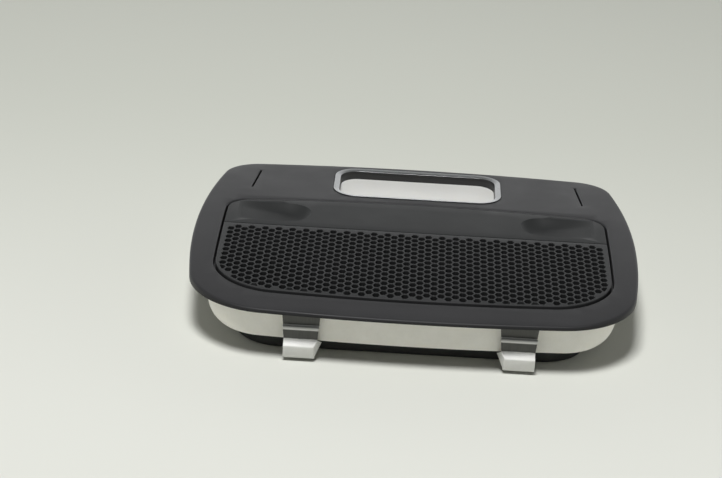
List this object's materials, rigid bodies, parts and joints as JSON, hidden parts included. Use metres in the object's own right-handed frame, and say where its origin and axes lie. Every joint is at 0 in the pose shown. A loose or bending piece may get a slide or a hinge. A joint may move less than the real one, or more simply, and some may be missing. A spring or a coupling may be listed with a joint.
{
  "type": "car interior light",
  "caption": "Roof lamp module for a car: crowned bezel with a honeycomb light grille, a rocker key with finger scoops, a ringed lamp pocket and spring clips.",
  "frame": {"origin": "below the middle of the bezel, on the surface that the lower cover lies on", "axes": "+X to the right, +Y to the rear edge with the ringed pocket, +Z out of the visible face"},
  "size_m": [0.23, 0.198, 0.0299],
  "materials": {
    "trim_plastic": "fine moulded grain",
    "grille_plastic": "fine moulded grain",
    "key_plastic": "fine moulded grain",
    "frame_plastic": "plain moulded",
    "bracket_plastic": "plain moulded",
    "diffuser_plastic": "frosted",
    "reflector_plastic": "white moulded",
    "plunger_plastic": "plain moulded",
    "switch_plastic": "plain moulded",
    "board_laminate": "solder-masked laminate",
    "led_package": "moulded package",
    "chip_package": "moulded package",
    "jumper_film": "flat film lead",
    "ring_chrome": "satin plated",
    "well_plastic": "plain moulded",
    "lens_plastic": "opal white",
    "seal_foam": "closed-cell foam",
    "capsule_metal": "drawn can",
    "housing_plastic": "natural translucent",
    "cover_plastic": "black moulded",
    "connector_plastic": "plain moulded",
    "pin_brass": "tinned",
    "pin_steel": "ground",
    "screw_steel": "zinc plated",
    "clip_steel": "stamped spring steel"
  },
  "bodies": {
    "module": {"bezel": "trim_plastic", "insert_frame": "frame_plastic", "louvre_grille": "grille_plastic", "light_diffuser": "diffuser_plastic", "reflector_tray": "reflector_plastic", "pivot_pin": "pin_steel", "rocker_bracket": "bracket_plastic", "bracket_screws": "screw_steel", "left_switch": "switch_plastic", "right_switch": "switch_plastic", "circuit_board": "board_laminate", "reading_leds": "led_package", "driver_chips": "chip_package", "board_screws": "screw_steel", "board_jumper": "jumper_film", "pocket_ring": "ring_chrome", "pocket_well": "well_plastic", "pocket_lens": "lens_plastic", "pocket_board": "board_laminate", "pocket_leds": "led_package", "left_mic_seal": "seal_foam", "right_mic_seal": "seal_foam", "left_microphone": "capsule_metal", "right_microphone": "capsule_metal", "lamp_housing": "housing_plastic", "housing_screws": "screw_steel", "lower_cover": "cover_plastic", "cover_screws": "screw_steel", "connector_shell": "connector_plastic", "connector_pins": "pin_brass", "left_clip": "clip_steel", "right_clip": "clip_steel"},
    "key": {"rocker_key": "key_plastic"},
    "left_plunger": {"left_plunger": "plunger_plastic"},
    "right_plunger": {"right_plunger": "plunger_plastic"}
  },
  "joints": [
    {"name": "key_rock", "type": "hinge", "parent": "module", "child": "key", "pos_m": [0, 0.0199, 0.0234], "axis": [0, 1, 0], "range_deg": [-0.9, 0.9], "stiffness_Nm_per_rad": 8},
    {"name": "left_press", "type": "slide", "parent": "module", "child": "left_plunger", "axis": [0, 0, 1], "range_m": [-0.0007, 0.0007]},
    {"name": "right_press", "type": "slide", "parent": "module", "child": "right_plunger", "axis": [0, 0, 1], "range_m": [-0.0007, 0.0007]}
  ],
  "couplings": [
    {"joint": "left_press", "follows": "key_rock", "m_per_rad": 0.042},
    {"joint": "right_press", "follows": "key_rock", "m_per_rad": -0.042}
  ]
}
